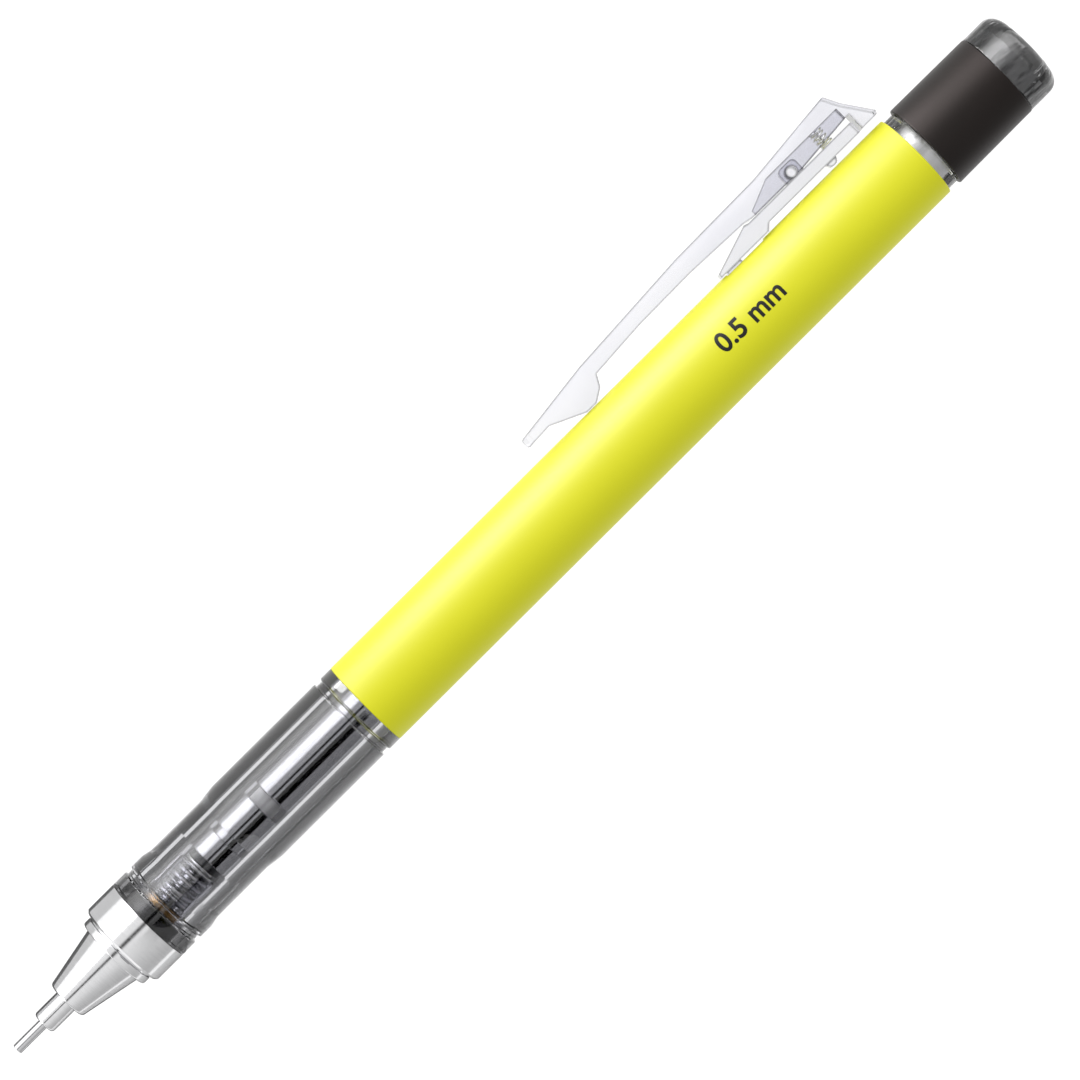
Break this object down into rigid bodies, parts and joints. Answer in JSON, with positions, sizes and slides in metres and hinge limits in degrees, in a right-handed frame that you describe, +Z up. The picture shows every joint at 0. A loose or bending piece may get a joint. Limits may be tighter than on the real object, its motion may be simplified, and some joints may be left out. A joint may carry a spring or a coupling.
{
  "type": "mechanical pencil",
  "caption": "Mechanical pencil with a clear smoke grip over its shaking weight, neon barrel, sliding lever clip and a twist-out eraser in its press knob.",
  "frame": {"origin": "centre of the bounding box at the table plane, with the pencil lying on its side and its clip's edge on the table", "axes": "+X along the pencil from tip to cap, +Z up from the table, +Y towards the clip"},
  "size_m": [0.148, 0.0168, 0.0104],
  "materials": {
    "neon_barrel": "satin, fluorescent yellow",
    "smoke_clear": "transparent grey, polished",
    "clear_plastic": "transparent, polished",
    "chrome": "polished plating",
    "steel": "turned steel",
    "spring_steel": "drawn wire",
    "brass": "turned brass",
    "rubber_black": "matt rubber",
    "retainer_rubber": "matt rubber",
    "white_plastic": "moulded",
    "silver_plastic": "silver-white, satin",
    "eraser_white": "matt",
    "dark_plastic": "moulded, black",
    "graphite": "graphite sheen"
  },
  "bodies": {
    "case": {"barrel": "neon_barrel", "grip": "smoke_clear", "front_ring": "chrome", "tip_cone": "chrome", "guide_pipe": "steel", "lead_retainer": "retainer_rubber", "chuck_sleeve": "clear_plastic", "weight_stop": "white_plastic", "return_spring": "spring_steel"},
    "feed": {"chuck": "steel", "chuck_connector": "dark_plastic", "impact_collar": "steel", "strike_ring": "steel", "lead_tube": "white_plastic", "spare_leads": "graphite"},
    "clutch": {"clutch_ring": "brass"},
    "weight": {"weight": "steel"},
    "eraser_unit": {"eraser_case": "white_plastic"},
    "knob": {"knob": "smoke_clear", "knob_sleeve": "rubber_black", "spiral_sleeve": "silver_plastic"},
    "eraser": {"eraser": "eraser_white", "eraser_carrier": "white_plastic"},
    "clip_slide": {"clip_base": "clear_plastic", "clip_pin": "clear_plastic", "clip_spring": "spring_steel", "lock_slider": "white_plastic"},
    "clip_lever": {"clip_lever": "clear_plastic"},
    "lead": {"lead": "graphite"}
  },
  "joints": [
    {"name": "knob_press", "type": "slide", "parent": "case", "child": "feed", "axis": [-1, 0, 0], "range_m": [0, 0.0013], "stiffness_N_per_m": 600, "springref_m": -0.0015, "deforming": ["return_spring"]},
    {"name": "clutch_slide", "type": "slide", "parent": "case", "child": "clutch", "axis": [-1, 0, 0], "range_m": [0, 0.00055]},
    {"name": "weight_slide", "type": "slide", "parent": "feed", "child": "weight", "axis": [1, 0, 0], "range_m": [-0.0014, 0.0072]},
    {"name": "eraser_unit_pull", "type": "slide", "parent": "feed", "child": "eraser_unit", "axis": [1, 0, 0], "range_m": [0, 0.03]},
    {"name": "knob_turn", "type": "hinge", "parent": "eraser_unit", "child": "knob", "pos_m": [0.066, -0.00315, 0.00521], "axis": [1, 0, 0], "range_deg": [0, 1440]},
    {"name": "eraser_slide", "type": "slide", "parent": "eraser_unit", "child": "eraser", "axis": [1, 0, 0], "range_m": [0, 0.02]},
    {"name": "clip_lock", "type": "slide", "parent": "case", "child": "clip_slide", "axis": [1, 0, 0], "range_m": [0, 0.003]},
    {"name": "clip_open", "type": "hinge", "parent": "clip_slide", "child": "clip_lever", "pos_m": [0.0474, 0.00459, 0.00337], "axis": [0, -0.2309, -0.973], "range_deg": [0, 3.5], "stiffness_Nm_per_rad": 0.05, "springref_deg": -8.59, "deforming": ["clip_spring"]},
    {"name": "lead_slide", "type": "slide", "parent": "case", "child": "lead", "axis": [-1, 0, 0], "range_m": [0, 0.005]}
  ],
  "couplings": [
    {"joint": "clutch_slide", "follows": "knob_press", "ratio": 0.42308},
    {"joint": "knob_turn", "follows": "eraser_slide", "rad_per_m": 1256.6}
  ]
}
